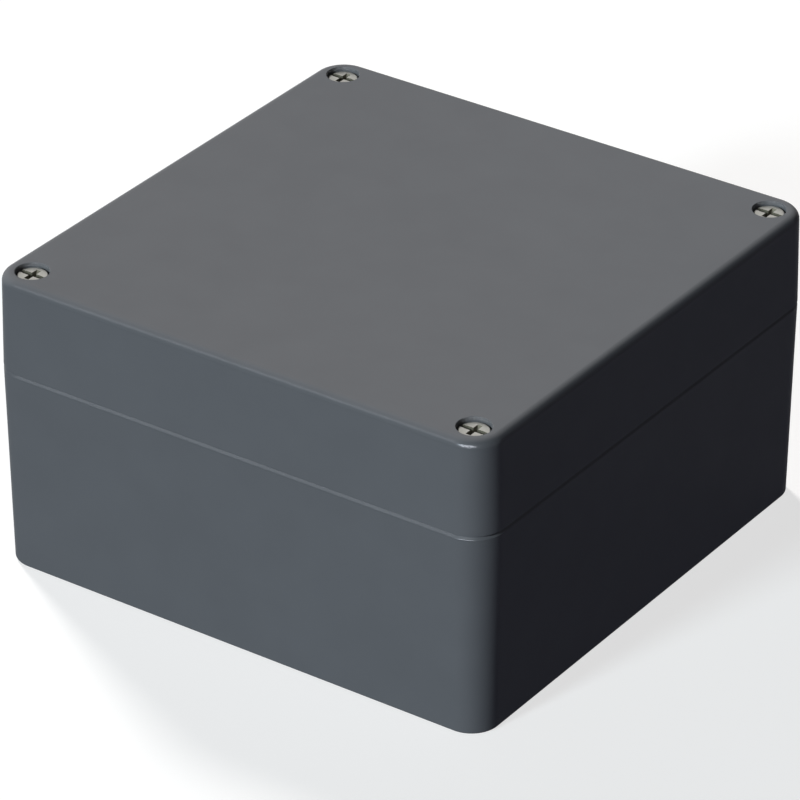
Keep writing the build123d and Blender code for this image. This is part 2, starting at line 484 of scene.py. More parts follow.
class Graph:
    """Builds the node graph of one material."""

    def __init__(self, name: str) -> None:
        """Starts a material with a principled shader and object coordinates."""
        self.material = bpy.data.materials.new(name)
        self.material.use_nodes = True
        self.tree = self.material.node_tree
        self.tree.nodes.clear()
        self.output = self.add("ShaderNodeOutputMaterial")
        self.shader = self.add("ShaderNodeBsdfPrincipled")
        self.tree.links.new(self.shader.outputs["BSDF"], self.output.inputs["Surface"])
        self.place = self.add("ShaderNodeTexCoord").outputs["Object"]

    def _feed(self, socket: Socket, value: object) -> None:
        """Links a socket into an input, or sets the input's value."""
        if isinstance(value, Socket):
            self.tree.links.new(value, socket)
        else:
            socket.default_value = value

    def add(self, kind: str, inputs: dict | None = None, **settings: object) -> bpy.types.Node:
        """Adds a node.

        Args:
            kind: Type name of the node.
            inputs: Values or sockets by input name or number.
            settings: Properties of the node.

        Returns:
            The node.
        """
        node = self.tree.nodes.new(kind)
        for key, value in settings.items():
            setattr(node, key, value)
        for key, value in (inputs or {}).items():
            self._feed(node.inputs[key], value)
        return node

    def math(self, operation: str, *values: Socket | float) -> Socket:
        """Result of a math node on values or sockets."""
        return self.add("ShaderNodeMath", dict(enumerate(values)), operation=operation).outputs[0]

    def vector(self, operation: str, *values: Socket | tuple[float, ...]) -> Socket:
        """Result of a vector math node: a number for a length, or else a vector."""
        node = self.add("ShaderNodeVectorMath", dict(enumerate(values)), operation=operation)
        return node.outputs["Value" if operation == "LENGTH" else "Vector"]

    def stretched(self, *scale: float) -> Socket:
        """Object coordinates times a scale along X, Y and Z."""
        return self.add("ShaderNodeMapping", {"Vector": self.place, "Scale": scale}).outputs[0]

    def noise(self, size: float, detail: float = 2.0, rough: float = 0.5, at: Socket | None = None) -> Socket:
        """Noise between 0 and 1 with grains of that size in millimetres."""
        inputs = {"Vector": at or self.place, "Scale": 1 / (size * MM), "Detail": detail, "Roughness": rough}
        return self.add("ShaderNodeTexNoise", inputs).outputs["Fac"]

    def remap(
        self, value: Socket, low: Socket | float, high: float, start: float = 0.3, end: float = 0.7
    ) -> Socket:
        """Value between start and end taken to the range from low to high."""
        inputs = {"Value": value, 1: start, 2: end, 3: low, 4: high}
        return self.add("ShaderNodeMapRange", inputs).outputs[0]

    def blend(self, share: Socket, *colours: Colour) -> Socket:
        """Colour that goes from the first to the second with the share."""
        node = self.add("ShaderNodeMix", {"Factor": share}, data_type="RGBA")
        for number, colour in zip(MIX_COLOURS, colours):
            node.inputs[number].default_value = (*colour, 1)
        return node.outputs[MIX_RESULT]

    def tinted(self, marks: Socket, colour: Colour, low: float, high: float = 1.0) -> Socket:
        """Colour that goes with the marks from itself times low to itself times high."""
        first, second = (tuple(channel * factor for channel in colour) for factor in (low, high))
        return self.blend(self.remap(marks, 0, 1), first, second)

    def set(self, **values: object) -> None:
        """Sets or links inputs of the shader, named with underscores for spaces."""
        for key, value in values.items():
            self._feed(self.shader.inputs[key.replace("_", " ")], value)

    def bump(self, height: Socket, depth: float, after: Socket | None = None) -> Socket:
        """Normal from a height between 0 and 1 over a depth in millimetres."""
        inputs = {"Height": height, "Distance": depth * MM, "Strength": 1.0}
        if after is not None:
            inputs["Normal"] = after
        return self.add("ShaderNodeBump", inputs).outputs["Normal"]


@dataclass(frozen=True)
class PaintFinish:
    """Smooth satin paint on a casting, with the faint ripple and mottle of a sprayed coat.

    The coat pulls thin and smooth over the top edge of the lid and the rim of the base, so these
    are glossier than the faces. The sizes of both edges are in metres.
    """

    colour: Colour = (0.154, 0.157, 0.167)
    mottle: float = 0.02
    mottle_size: float = 14.0
    ripple_size: float = 1.1
    ripple_depth: float = 0.0022
    roughness: Pair = (0.47, 0.53)
    smear_size: float = 3.0
    edge_roughness: float = 0.25
    edge_middle: tuple[float, float, float] = (0.0705, 0.0705, 1.0)
    edge_reach: Pair = (0.0062, 0.0069)
    top_edge: Pair = (0.0859, 0.0862)
    rim_level: float = 0.0601
    rim_reach: Pair = (0.0007, 0.0009)
    flake: float = 0.05
    specular: float = 0.003

    def _edge(self, graph: Graph) -> Socket:
        """Share of the edge's gloss.

        It is 1 outside a rounded square in plan, on the levels of the lid's top edge or of the
        base's rim, and 0 elsewhere, with a narrow ramp between. The middle of the square's corner
        lies far above the box, so only X and Y count in the distance from it.

        Args:
            graph: Graph of the paint.

        Returns:
            Socket of the share.
        """
        past = graph.vector("SUBTRACT", graph.vector("ABSOLUTE", graph.place), self.edge_middle)
        reach = graph.vector("LENGTH", graph.vector("MAXIMUM", past, (0.0, 0.0, 0.0)))
        level = graph.add("ShaderNodeSeparateXYZ", {0: graph.place}).outputs["Z"]
        from_rim = graph.math("ABSOLUTE", graph.math("SUBTRACT", level, self.rim_level))
        at_top = graph.remap(level, 0, 1, *self.top_edge)
        at_rim = graph.remap(from_rim, 1, 0, *self.rim_reach)
        outside = graph.remap(reach, 0, 1, *self.edge_reach)
        return graph.math("MULTIPLY", outside, graph.math("MAXIMUM", at_top, at_rim))

    def build(self) -> bpy.types.Material:
        """Material of the paint."""
        graph = Graph("casting_paint")
        cloud = graph.noise(self.mottle_size, detail=3)
        on_faces = graph.remap(graph.noise(self.smear_size, detail=3), *self.roughness)
        graph.set(
            Base_Color=graph.tinted(cloud, self.colour, 1 - self.mottle, 1 + self.mottle),
            Metallic=self.flake,
            Roughness=graph.remap(self._edge(graph), on_faces, self.edge_roughness, 0.0, 1.0),
            Specular_IOR_Level=self.specular,
            Normal=graph.bump(graph.noise(self.ripple_size), self.ripple_depth),
        )
        return graph.material


@dataclass(frozen=True)
class BareCastFinish:
    """Machined aluminium in the tapped holes, where no paint goes."""

    colour: Colour = (0.62, 0.62, 0.63)
    dark: float = 0.85
    roughness: Pair = (0.34, 0.49)
    mark_size: float = 0.8
    mark_squeeze: float = 12.0
    mark_depth: float = 0.004

    def build(self) -> bpy.types.Material:
        """Material of the machined metal."""
        graph = Graph("machined_aluminium")
        marks = graph.noise(self.mark_size, detail=3, at=graph.stretched(1.0, 1.0, self.mark_squeeze))
        graph.set(
            Base_Color=graph.tinted(marks, self.colour, self.dark),
            Metallic=1.0,
            Roughness=graph.remap(marks, *self.roughness),
            Normal=graph.bump(marks, self.mark_depth),
        )
        return graph.material


@dataclass(frozen=True)
class SteelFinish:
    """Stainless steel of the screws, with the fine rings that turning leaves round each axis."""

    name: str
    axis: Place
    colour: Colour = (0.42, 0.411, 0.377)
    dark: float = 0.9
    stain_size: float = 2.4
    roughness: Pair = (0.31, 0.45)
    smear_size: float = 0.5
    ring_size: float = 0.16
    ring_depth: float = 0.0012
    grain_size: float = 0.35
    grain_depth: float = 0.0015

    def build(self) -> bpy.types.Material:
        """Material of the steel, centred on the four mirrored axes by the absolute X and Y."""
        graph = Graph(self.name)
        flat = graph.vector("MULTIPLY", graph.vector("ABSOLUTE", graph.place), (1.0, 1.0, 0.0))
        axis = (self.axis[0] * MM, self.axis[1] * MM, 0.0)
        radius = graph.vector("LENGTH", graph.vector("SUBTRACT", flat, axis))
        waves = graph.math("SINE", graph.math("MULTIPLY", radius, FULL_TURN / (self.ring_size * MM)))
        rings = graph.remap(waves, 0, 1, -1, 1)
        grain = graph.bump(graph.noise(self.grain_size, detail=3), self.grain_depth)
        stain = graph.noise(self.stain_size, detail=4, rough=0.6)
        graph.set(
            Base_Color=graph.tinted(stain, self.colour, self.dark),
            Metallic=1.0,
            Roughness=graph.remap(graph.noise(self.smear_size, detail=3), *self.roughness),
            Normal=graph.bump(rings, self.ring_depth, after=grain),
        )
        return graph.material


@dataclass(frozen=True)
class RecessShadeFinish:
    """Darker, duller steel inside the driver recess: painted shade of the recess."""

    colour: Colour = (0.140, 0.135, 0.104)
    dark: float = 0.8
    metal: float = 0.25
    roughness: Pair = (0.52, 0.68)
    specular: float = 0.1
    mark_size: float = 0.4
    mark_depth: float = 0.004

    def build(self) -> bpy.types.Material:
        """Material of the recess."""
        graph = Graph("driver_recess_shaded_steel")
        marks = graph.noise(self.mark_size, detail=3)
        # colour darker than the head's steel: painted shade that falls in the recess
        graph.set(
            Base_Color=graph.tinted(marks, self.colour, self.dark),
            Metallic=self.metal,
            Roughness=graph.remap(marks, *self.roughness),
            Specular_IOR_Level=self.specular,
            Normal=graph.bump(marks, self.mark_depth),
        )
        return graph.material


@dataclass(frozen=True)
class RubberFinish:
    """Matt black rubber of the gasket, faintly dusty."""

    colour: Colour = (0.020, 0.020, 0.021)
    dust: Colour = (0.040, 0.040, 0.041)
    dust_size: float = 6.0
    dust_from_to: Pair = (0.45, 0.75)
    roughness: Pair = (0.60, 0.78)
    smear_size: float = 1.5
    specular: float = 0.35
    grain_size: float = 0.3
    grain_depth: float = 0.01

    def build(self) -> bpy.types.Material:
        """Material of the rubber."""
        graph = Graph("gasket_rubber_black")
        dusty = graph.remap(graph.noise(self.dust_size, detail=5, rough=0.65), 0, 1, *self.dust_from_to)
        graph.set(
            Base_Color=graph.blend(dusty, self.colour, self.dust),
            Roughness=graph.remap(graph.noise(self.smear_size, detail=3), *self.roughness),
            Specular_IOR_Level=self.specular,
            Normal=graph.bump(graph.noise(self.grain_size, detail=4, rough=0.6), self.grain_depth),
        )
        return graph.material


@dataclass(frozen=True)
class NylonFinish:
    """Natural nylon of the retaining rings, a little milky."""

    colour: Colour = (0.66, 0.63, 0.54)
    dark: float = 0.93
    cloud_size: float = 2.5
    roughness: Pair = (0.37, 0.50)
    smear_size: float = 0.8
    milk: float = 0.15
    milk_depth: float = 0.0006
    grain_size: float = 0.5
    grain_depth: float = 0.004

    def build(self) -> bpy.types.Material:
        """Material of the nylon."""
        graph = Graph("ring_nylon_natural")
        graph.set(
            Base_Color=graph.tinted(graph.noise(self.cloud_size, detail=3), self.colour, self.dark),
            Roughness=graph.remap(graph.noise(self.smear_size, detail=3), *self.roughness),
            Subsurface_Weight=self.milk,
            Subsurface_Scale=self.milk_depth,
            Normal=graph.bump(graph.noise(self.grain_size, detail=3), self.grain_depth),
        )
        return graph.material


@dataclass(frozen=True)
class BrassFinish:
    """Stamped brass of the terminal's clamp, slightly dulled by handling."""

    colour: Colour = (0.70, 0.50, 0.20)
    dull: Colour = (0.46, 0.33, 0.15)
    wear_size: float = 3.0
    wear_from_to: Pair = (0.4, 0.75)
    roughness: Pair = (0.32, 0.52)
    grain_size: float = 0.12
    grain_stretch: float = 0.08
    grain_depth: float = 0.002

    def build(self) -> bpy.types.Material:
        """Material of the brass."""
        graph = Graph("clamp_brass_stamped")
        worn = graph.remap(graph.noise(self.wear_size, detail=5, rough=0.65), 0, 1, *self.wear_from_to)
        grain = graph.noise(self.grain_size, at=graph.stretched(self.grain_stretch, 1.0, 1.0))
        graph.set(
            Base_Color=graph.blend(worn, self.colour, self.dull),
            Metallic=1.0,
            Roughness=graph.remap(worn, *self.roughness, 0, 1),
            Normal=graph.bump(grain, self.grain_depth),
        )
        return graph.material


@dataclass
class BoxPlan:
    """Sizes that both castings share."""

    side: float = 160.0
    height: float = 88.5
    parting: float = 60.8
    corner_r: float = 9.5
    lean: float = float(np.tan(np.radians(1.0)))
    wall: float = 4.2
    seal_corner_r: float = 5.0
    block: Place = (59.75, 43.75)
    fix: Place = (70.0, 55.0)
    well: Pair = (12.0, 14.0)
    well_r: float = 3.0
    well_edge: float = 0.4
    well_end_r: float = 1.0
    screw: Place = (71.1, 71.1)

    @property
    def outside(self) -> Outline:
        """Outline of the closed box at the parting plane, whose corners narrow with the draft."""
        return replace(Outline.rectangle(self.side, self.side, self.corner_r, 20), conical=True)

    @property
    def seal(self) -> Outline:
        """Line that the seal follows: the cavity's edge at the parting plane."""
        wide = self.side / 2 - self.wall
        return Outline.cross((wide, wide), self.block, self.seal_corner_r, 10)

    def carried(self, outline: Outline, *parts: Array | Place) -> Array:
        """Profile carried round an outline, with the castings' draft away from the parting plane."""
        return outline.carry(profile(*parts), self.lean, self.parting)

    def well_wall(self, corner: Corner, end: float) -> Array:
        """Wall of the well in one corner block, from the parting plane to the well's end.

        Args:
            corner: Corner of the box.
            end: Height of the end, below the parting plane in the base and above it in the lid.

        Returns:
            Array of rows by points by 3.
        """
        way = 1 if end > self.parting else -1
        edge, bend = self.well_edge, self.well_end_r
        return self.carried(
            Outline.rectangle(*self.well, self.well_r, 8, corner.at(*self.fix)),
            arc(edge, self.parting + way * edge, edge, 180 + 90 * way, 180, 4),
            arc(-bend, end - way * bend, bend, 0, 90 * way, 5),
        )


@dataclass
class Casting:
    """What both castings have: their plan and the marks of the ejector pins."""

    plan: BoxPlan
    pin_r: float = 4.0
    pin_lean: float = 0.06
    pin_depth: float = 0.12

    def _pin_mark(self, piece: Patchwork, middle: Place, level: float, end: float) -> Array:
        """Adds the shallow round mark of a pin, between two heights, and returns its loop."""
        rows = turn(profile((self.pin_r, level), (self.pin_r - self.pin_lean, end), (0, end)), middle, 40)
        return piece.band(rows)[0]


@dataclass(frozen=True)
class Boss:
    """Radius and top of a round boss, with the radius and the floor of its blind hole."""

    radius: float
    top: float
    hole_r: float
    hole_floor: float


@dataclass
class BaseCasting(Casting):
    """Lower casting: drafted tub with corner blocks, tongue, wells, bosses and tapped holes."""

    foot_round: float = 0.8
    rim_drop: float = 1.25
    rim_slope: float = 38.0
    rim_rounds: Pair = (0.5, 0.25)
    floor: float = 4.5
    floor_r: float = 2.6
    tongue: Pair = (0.3, 2.3)
    tongue_top: float = 62.8
    tongue_round: float = 0.4
    tongue_foot: float = 0.3
    ledge_edge: Pair = (0.05, 0.04)
    cavity_edge: Pair = (0.08, 0.1)
    well_floor: float = 6.0
    fix_hole_r: float = 3.25
    hole_edge: float = 0.3
    tapped_r: float = 2.55
    tapped_lead: float = 0.5
    thread_cut: float = 0.36
    tapped_floor: float = 47.6
    drill_cone: float = 1.4
    thread_runout: float = 2.5
    plate: Place = (50.0, 64.0)
    plate_boss: Boss = Boss(5.0, 10.5, 1.65, 2.5)
    earth: Place = (62.0, 0.0)
    earth_boss: Boss = Boss(6.5, 12.5, 2.55, 3.7)
    boss_foot: float = 0.6
    boss_round: float = 0.4
    boss_cone: float = 0.6
    pins: tuple[Place, ...] = ((0, 0), (-34, -40), (34, -40), (-34, 40), (34, 40), (-60, 0))

    def _outer_skin(self, piece: Patchwork) -> tuple[Array, Array]:
        """Adds the outer wall and returns its lowest and highest loops.

        The rim slopes between two rounds. The upper one lies in from the lower one's end by the
        slope's tangent times the height that is left between them.
        """
        foot, (lower, upper), top = self.foot_round, self.rim_rounds, self.plan.parting
        rise = np.radians(self.rim_slope)
        left = self.rim_drop - lower * np.sin(rise) - upper * (1 - np.sin(rise))
        inset = lower - (lower - upper) * np.cos(rise) + left * np.tan(rise)
        return piece.band(
            self.plan.carried(
                self.plan.outside,
                arc(-foot, foot, foot, -90, 0),
                arc(-lower, top - self.rim_drop, lower, 0, self.rim_slope, 3),
                arc(-inset, top - upper, upper, self.rim_slope, 90, 5),
            )
        )

    def _seal_side(self, piece: Patchwork) -> tuple[Array, Array]:
        """Adds the tongue and the cavity's wall, and returns their loops on the rim and the floor."""
        top, inner, outer, edge = self.plan.parting, *self.tongue, self.tongue_round
        low, bend, foot = self.floor, self.floor_r, self.tongue_foot
        return piece.band(
            self.plan.carried(
                self.plan.seal,
                arc(outer + foot, top + foot, foot, 270, 180, 4),
                arc(outer - edge, self.tongue_top - edge, edge, 0, 90, 5),
                arc(inner + edge, self.tongue_top - edge, edge, 90, 180, 5),
                (inner, top + self.ledge_edge[1]),
                (inner - self.ledge_edge[0], top),
                (self.cavity_edge[0], top),
                (0.0, top - self.cavity_edge[1]),
                arc(-bend, low + bend, bend, 0, -90, 8),
            )
        )

    def _well(self, piece: Patchwork, corner: Corner) -> tuple[Array, Array]:
        """Adds a fixing well with its hole, and returns their loops on the rim and the underside."""
        low, hole, edge = self.well_floor, self.fix_hole_r, self.hole_edge
        wall = self.plan.well_wall(corner, low)
        rows = profile((hole + edge, low), (hole, low - edge), (hole, edge), (hole + edge, 0))
        bore = turn(rows, corner.at(*self.plan.fix), 40)
        piece.grid(wall).flat(wall[-1], (bore[0],)).grid(bore)
        return wall[0], bore[-1]

    def _tapped_hole(self, piece: Patchwork, corner: Corner) -> Array:
        """Adds a lid screw's tapped hole and returns its loop on the rim."""
        top, wide, low = self.plan.parting - self.tapped_lead, self.tapped_r, self.tapped_floor
        middle, end = corner.at(*self.plan.screw), low + self.thread_runout
        lead = turn(profile((wide + self.tapped_lead, self.plan.parting), (wide, top)), middle)
        tap = Thread(wide, wide + self.thread_cut).surface(end, top, middle, 48)
        tip = turn(profile((wide, end), (wide, low + self.drill_cone), (0, low)), middle)
        piece.grid(lead).grid(tap, SECOND_FINISH).grid(tip, SECOND_FINISH)
        return lead[0]

    def _boss(self, piece: Patchwork, middle: Place, boss: Boss) -> Array:
        """Adds a round boss with a blind hole.

        Args:
            piece: Piece that gets the boss.
            middle: Place of its axis.
            boss: Its sizes.

        Returns:
            Its loop on the floor.
        """
        radius, top, hole, low = boss.radius, boss.top, boss.hole_r, boss.hole_floor
        foot, bend, edge = self.boss_foot, self.boss_round, self.hole_edge
        low_round = arc(radius + foot, self.floor + foot, foot, 270, 180, 4)
        outside = turn(profile(low_round, arc(radius - bend, top - bend, bend, 0, 90, 4)), middle)
        face = turn(profile((radius - bend, top), (hole + edge, top)), middle)
        cone = (hole, low + self.boss_cone * hole)
        inside = turn(profile((hole + edge, top), (hole, top - edge), cone, (0, low)), middle)
        piece.grid(outside).grid(face).grid(inside, SECOND_FINISH)
        return outside[0]

    def mesh(self) -> bpy.types.Mesh:
        """Closed mesh of the casting."""
        piece = Patchwork("base_casting")
        underside, rim = self._outer_skin(piece)
        tongue, floor = self._seal_side(piece)
        wells = [self._well(piece, corner) for corner in Corner]
        tapped = [self._tapped_hole(piece, corner) for corner in Corner]
        bosses = [self._boss(piece, corner.at(*self.plate), self.plate_boss) for corner in Corner]
        bosses.append(self._boss(piece, self.earth, self.earth_boss))
        pin_end = self.floor - self.pin_depth
        marks = [self._pin_mark(piece, middle, self.floor, pin_end) for middle in self.pins]
        piece.flat(underside, tuple(hole for _, hole in wells))
        piece.flat(rim, (tongue, *(top for top, _ in wells), *tapped))
        piece.flat(floor, (*bosses, *marks))
        return piece.mesh()

    def build(self, paint: bpy.types.Material, bare: bpy.types.Material) -> bpy.types.Object:
        """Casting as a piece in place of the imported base."""
        mesh = self.mesh()
        smooth(mesh)
        return place(mesh, (paint, bare), Body.BASE, Slot.CASTING, "base")


@dataclass
class LidCasting(Casting):
    """Upper casting: drafted cover with the gasket's groove, screw seats and ring pockets."""

    top_round: float = 2.5
    rim_round: float = 0.2
    ceiling: float = 84.0
    ceiling_r: float = 2.6
    lip: float = 1.5
    lip_r: float = 0.3
    groove: Pair = (0.0, 2.6)
    groove_top: float = 65.2
    groove_r: float = 0.3
    groove_edge: float = 0.15
    seat: float = 84.1
    seat_r: float = 0.25
    counterbore_r: float = 4.75
    counterbore_edge: float = 0.15
    pass_r: float = 2.75
    pass_edge: float = 0.15
    pocket_r: float = 4.6
    pocket_top: float = 62.4
    pocket_edge: float = 0.2
    pins: tuple[Place, ...] = ((0, 0), (-40, -52), (40, -52), (-40, 52), (40, 52), (-60, 0), (60, 0))

    def _outer_skin(self, piece: Patchwork) -> tuple[Array, Array]:
        """Adds the outer wall and returns its lowest and highest loops."""
        rim, bend, low = self.rim_round, self.top_round, self.plan.parting
        return piece.band(
            self.plan.carried(
                self.plan.outside,
                arc(-rim, low + rim, rim, -90, 0),
                arc(-bend, self.plan.height - bend, bend, 0, 90, 14),
            )
        )

    def _seal_side(self, piece: Patchwork) -> tuple[Array, Array]:
        """Adds the groove, its lip and the cavity's wall, and returns their loops on rim and ceiling."""
        low, (inner, outer), end = self.plan.parting, self.groove, self.groove_top
        top, bend, lip, lip_r = self.ceiling, self.ceiling_r, self.lip, self.lip_r
        edge, round_r = self.groove_edge, self.groove_r
        return piece.band(
            self.plan.carried(
                self.plan.seal,
                (outer + edge, low),
                (outer, low + edge),
                arc(outer - round_r, end - round_r, round_r, 0, 90, 3),
                arc(inner + round_r, end - round_r, round_r, 90, 180, 3),
                (inner, low + edge),
                (inner - edge, low),
                arc(-lip + lip_r, low + lip_r, lip_r, 270, 180, 4),
                arc(-lip - bend, top - bend, bend, 0, 90, 8),
            )
        )

    def _well(self, piece: Patchwork, corner: Corner) -> Array:
        """Adds the hollow over a fixing well and returns its loop on the rim."""
        wall = self.plan.well_wall(corner, self.ceiling)
        piece.grid(wall).flat(wall[-1])
        return wall[0]

    def _screw_way(self, piece: Patchwork, corner: Corner) -> tuple[Array, Array]:
        """Adds a counterbore, clearance hole and ring pocket, and returns the top and rim loops."""
        wide, edge, top, seat_r = self.counterbore_r, self.counterbore_edge, self.plan.height, self.seat_r
        rows = profile(
            arc(wide + edge, top - edge, edge, 90, 180, 5),
            arc(wide - seat_r, self.seat + seat_r, seat_r, 0, -90, 3),
            (self.pass_r + self.pass_edge, self.seat),
            (self.pass_r, self.seat - self.pass_edge),
            (self.pass_r, self.pocket_top),
            (self.pocket_r, self.pocket_top),
            (self.pocket_r, self.plan.parting + self.pocket_edge),
            (self.pocket_r + self.pocket_edge, self.plan.parting),
        )
        return piece.band(turn(rows, corner.at(*self.plan.screw), 72))

    def mesh(self) -> bpy.types.Mesh:
        """Closed mesh of the casting."""
        piece = Patchwork("lid_casting")
        rim, top = self._outer_skin(piece)
        groove, ceiling = self._seal_side(piece)
        wells = [self._well(piece, corner) for corner in Corner]
        ways = [self._screw_way(piece, corner) for corner in Corner]
        pin_end = self.ceiling + self.pin_depth
        marks = [self._pin_mark(piece, middle, self.ceiling, pin_end) for middle in self.pins]
        piece.flat(top, tuple(high for high, _ in ways))
        piece.flat(rim, (groove, *wells, *(low for _, low in ways)))
        piece.flat(ceiling, tuple(marks))
        return piece.mesh()

    def build(self, paint: bpy.types.Material) -> bpy.types.Object:
        """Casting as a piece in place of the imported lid."""
        mesh = self.mesh()
        smooth(mesh)
        return place(mesh, (paint,), Body.LID, Slot.CASTING, "lid")


@dataclass
class Gasket:
    """Endless rubber gasket in the lid's groove, with the track that the tongue has pressed."""

    plan: BoxPlan
    middle: Place = (1.3, 64.0)
    half: Pair = (1.2, 1.2)
    power: float = 0.42
    track_depth: float = 0.22
    track_side: float = -0.7
    points: int = 36

    def mesh(self) -> bpy.types.Mesh:
        """Closed mesh of the gasket.

        Its section is a rounded square: the half size times the sign of the cosine, and of the
        sine, times their size to a power below 1. The lower side rises in the middle by the
        track's depth times the squared cosine of a half wave.
        """
        angle = np.linspace(0, FULL_TURN, self.points, endpoint=False)
        waves = np.stack([np.cos(angle), np.sin(angle)], axis=1)
        section = np.sign(waves) * np.abs(waves) ** self.power
        across, tall = section.T
        pressed = np.cos(np.clip(across, -1, 1) * np.pi / 2) ** 2 * (tall < self.track_side)
        rows = np.array(self.middle) + np.array(self.half) * section
        rows[:, 1] += self.track_depth * pressed
        loops = self.plan.carried(self.plan.seal, rows)
        return Patchwork("sealing_gasket").grid(loops, ring=True).mesh()

    def build(self, rubber: bpy.types.Material) -> bpy.types.Object:
        """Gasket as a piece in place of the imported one."""
        mesh = self.mesh()
        smooth(mesh, angle=50)
        return place(mesh, (rubber,), Body.LID, Slot.RUBBER, "lid_gasket", even=False)


@dataclass
class CheeseHeadScrew:
    """Cheese head screw with a slot across its head over a deeper cross.

    Attributes:
        seat: Height of the face under the head.
        end: Height of the tip.
        thread_top: Height at which the thread starts.
        neck_r: Radius of the shank above the thread.
    """

    seat: float
    end: float
    thread_top: float
    neck_r: float
    head_r: float = 4.25
    head_h: float = 3.3
    head_round: float = 0.45
    head_edge: float = 0.15
    neck_round: float = 0.2
    thread_r: float = 2.5
    root_r: float = 2.06
    thread_lead: float = 0.35
    tip_h: float = 0.9
    tip_taper: float = 0.5
    overlap: float = 0.001
    slot_w: float = 1.3
    slot_depth: float = 1.5
    cross_span: float = 5.6
    cross_w: float = 1.5
    cross_depth: float = 2.3
    cross_taper: Pair = (0.68, 0.86)
    cutter_r: float = 0.001
    cutter_rise: float = 1.0
    margin: float = 0.02
    tolerance: float = 0.1
    steps: int = 64

    @property
    def top(self) -> float:
        """Height of the head's top."""
        return self.seat + self.head_h

    def _head(self) -> bpy.types.Mesh:
        """Closed turned blank of the head and shank, before its recess is cut."""
        top, seat, bend, edge, neck = self.top, self.seat, self.head_round, self.head_edge, self.neck_round
        rows = profile(
            (0, top),
            arc(self.head_r - bend, top - bend, bend, 90, 0, 6),
            (self.head_r, seat + edge),
            (self.head_r - edge, seat),
            arc(self.neck_r + neck, seat - neck, neck, 90, 180, 3),
            (self.neck_r, self.thread_top),
            (0, self.thread_top),
        )
        return Patchwork("screw_blank").grid(turn(rows, steps=self.steps)).mesh()

    def _cutters(self) -> list[bpy.types.Mesh]:
        """Closed shapes of the slot and of the cross, whose arms taper downward.

        The points at the ends of the cross's arms draw in more than those between the arms.
        """
        top, above = self.top, self.top + self.cutter_rise
        slot = Outline.rectangle(3 * self.head_r, self.slot_w, self.cutter_r, 1)
        slot_rows = slot.carry(profile((0, above), (0, top - self.slot_depth)))
        span, half = self.cross_span / 2, self.cross_w / 2
        cross = Outline.cross((span, span), (half, half), self.cutter_r, 1)
        rows = cross.carry(profile((0, above), (0, top), (0, top - self.cross_depth)))
        rows[-1, :, :2] *= np.where(np.abs(rows[-1, :, :2]) > half + self.tolerance, *self.cross_taper)
        return [
            Patchwork(name).grid(loops).flat(loops[0]).flat(loops[-1]).mesh()
            for name, loops in (("slot_cutter", slot_rows), ("cross_cutter", rows))
        ]

    def _cut_head(self) -> bpy.types.Mesh:
        """Head with its recess cut."""
        blank = linked("screw_blank", self._head())
        tools = []
        for mesh in self._cutters():
            tool = linked(mesh.name, mesh)
            cut = blank.modifiers.new(mesh.name, "BOOLEAN")
            cut.operation, cut.solver, cut.object = "DIFFERENCE", "EXACT", tool
            tools.append(tool)
        cut_mesh = evaluated(blank)
        for item in (blank, *tools):
            bpy.data.objects.remove(item)
        return cut_mesh

    def pattern(self) -> bpy.types.Mesh:
        """Closed mesh of the screw about the Z axis, with the head's recess and the thread."""
        low, start = self.end + self.tip_h, self.thread_top - self.thread_lead
        level = self.thread_top - self.overlap
        cap = profile((0, level), (self.root_r, level), (self.thread_r, start))
        tap = Thread(self.thread_r, self.root_r).surface(low, start, (0.0, 0.0), self.steps)
        cone = profile((self.thread_r, low), (self.root_r - self.tip_taper, self.end), (0, self.end))
        shank = Patchwork("screw_shank").grid(turn(cap, steps=self.steps)).grid(tap)
        shank.grid(turn(cone, steps=self.steps))
        whole = joined("screw_pattern", self._cut_head(), shank.mesh())
        self._recess_faces(whole)
        smooth(whole)
        return whole

    def _recess_faces(self, mesh: bpy.types.Mesh) -> None:
        """Gives the faces inside the recess the second material, a darker steel that paints the recess's
        shade.

        A face is in the recess where its middle lies above the recess's floor, below the head's
        top, inside the slot's or the cross's outline and within the head's radius.
        """
        middle = np.empty(len(mesh.polygons) * 3, np.float32)
        mesh.polygons.foreach_get("center", middle)
        x, y, z = np.abs(middle.reshape(-1, 3).T) / MM
        arm, span, margin = self.cross_w / 2, self.cross_span / 2, self.margin
        in_slot = y < self.slot_w / 2 + margin
        in_cross = (x < arm + margin) & (y < span + margin)
        wide_arm = (y < arm + margin) & (x < span + margin)
        inside = (in_slot | in_cross | wide_arm) & (np.hypot(x, y) < self.head_r - margin)
        floor = self.top - self.cross_depth - self.tolerance
        deep = (z < self.top - margin) & (z > floor)
        mesh.polygons.foreach_set("material_index", (inside & deep).astype(np.int32))

    def build(
        self,
        name: str,
        middle: Place,
        pattern: bpy.types.Mesh,
        materials: tuple[bpy.types.Material, ...],
        body: Body,
        node: str,
    ) -> bpy.types.Object:
        """Screw at one place.

        Args:
            name: Name of the piece.
            middle: Place of its axis.
            pattern: Mesh of the screw about the Z axis.
            materials: Steel, and the darker steel of the recess that paints its shade.
            body: Body that carries it.
            node: Node that it stands for.

        Returns:
            The screw.
        """
        mesh = pattern.copy()
        mesh.name = name
        points = np.empty(len(mesh.vertices) * 3, np.float32)
        mesh.vertices.foreach_get("co", points)
        moved = points.reshape(-1, 3) + np.array([middle[0] * MM, middle[1] * MM, 0], np.float32)
        mesh.vertices.foreach_set("co", moved.ravel())
        return place(mesh, materials, body, Slot.STEEL, node)


def evaluated(item: bpy.types.Object) -> bpy.types.Mesh:
    """Mesh of an object with its modifiers applied."""
    bpy.context.view_layer.update()
    graph = bpy.context.evaluated_depsgraph_get()
    return bpy.data.meshes.new_from_object(item.evaluated_get(graph))


